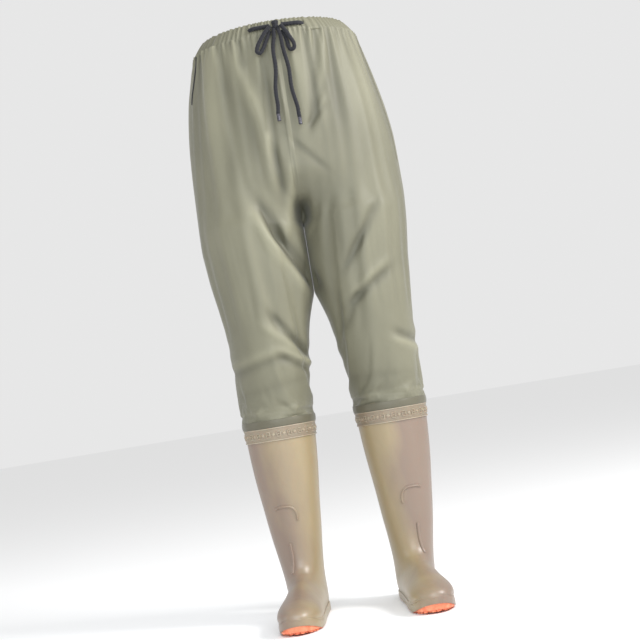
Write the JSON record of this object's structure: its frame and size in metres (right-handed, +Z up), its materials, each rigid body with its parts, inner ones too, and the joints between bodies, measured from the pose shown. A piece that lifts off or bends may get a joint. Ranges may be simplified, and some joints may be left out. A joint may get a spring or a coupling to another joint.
{
  "type": "hip waders",
  "caption": "Drawstring wader trousers of coated fabric with gathered waist, joined at the knees to moulded rubber boots; hips and knees bend.",
  "frame": {"origin": "centre of the waist mouth, level with the casing's top edge", "axes": "+Z up out of the waist, -Y to the front, where the toes and the bow are, +X to the right as seen from the front"},
  "size_m": [0.3934, 0.325, 1.105],
  "materials": {
    "coated_fabric": "satin",
    "hem_tape": "satin",
    "drawstring": "matte",
    "aglet": "satin",
    "elastic": "matte",
    "boot_pvc": "glossy",
    "boot_band": "satin",
    "lining": "matte",
    "outsole": "satin"
  },
  "bodies": {
    "waist": {"waist_casing": "coated_fabric", "waist_elastic": "elastic", "drawstring_in_casing": "drawstring", "front_panel_left": "coated_fabric", "back_panel_left": "coated_fabric", "hip_fold_left": "coated_fabric", "drawstring_run_left": "drawstring", "bow_loop_left": "drawstring", "drawstring_tail_left": "drawstring", "aglet_left": "aglet", "front_panel_right": "coated_fabric", "back_panel_right": "coated_fabric", "hip_fold_right": "coated_fabric", "drawstring_run_right": "drawstring", "bow_loop_right": "drawstring", "drawstring_tail_right": "drawstring", "aglet_right": "aglet", "front_seam_strip": "coated_fabric", "back_seam_strip": "coated_fabric", "bow_knot": "drawstring"},
    "left_thigh": {"thigh_front_left": "coated_fabric", "thigh_back_left": "coated_fabric", "knee_fold_left": "coated_fabric"},
    "left_boot": {"shin_sleeve_left": "coated_fabric", "hem_tape_left": "hem_tape", "boot_top_band_left": "boot_band", "boot_upper_left": "boot_pvc", "boot_lining_left": "lining", "insole_left": "lining", "toe_guard_left": "boot_pvc", "outsole_left": "outsole"},
    "right_thigh": {"thigh_front_right": "coated_fabric", "thigh_back_right": "coated_fabric", "knee_fold_right": "coated_fabric"},
    "right_boot": {"shin_sleeve_right": "coated_fabric", "hem_tape_right": "hem_tape", "boot_top_band_right": "boot_band", "boot_upper_right": "boot_pvc", "boot_lining_right": "lining", "insole_right": "lining", "toe_guard_right": "boot_pvc", "outsole_right": "outsole"}
  },
  "joints": [
    {"name": "left_hip", "type": "hinge", "parent": "waist", "child": "left_thigh", "pos_m": [-0.1, -0.021, -0.305], "axis": [-1, 0, 0], "range_deg": [-15, 75], "deforming": ["hip_fold_left"]},
    {"name": "left_knee", "type": "hinge", "parent": "left_thigh", "child": "left_boot", "pos_m": [-0.102, 0.004, -0.63], "axis": [1, 0, 0], "range_deg": [0, 90], "deforming": ["knee_fold_left"]},
    {"name": "right_hip", "type": "hinge", "parent": "waist", "child": "right_thigh", "pos_m": [0.1, -0.021, -0.305], "axis": [-1, 0, 0], "range_deg": [-15, 75], "deforming": ["hip_fold_right"]},
    {"name": "right_knee", "type": "hinge", "parent": "right_thigh", "child": "right_boot", "pos_m": [0.102, 0.004, -0.63], "axis": [1, 0, 0], "range_deg": [0, 90], "deforming": ["knee_fold_right"]}
  ]
}
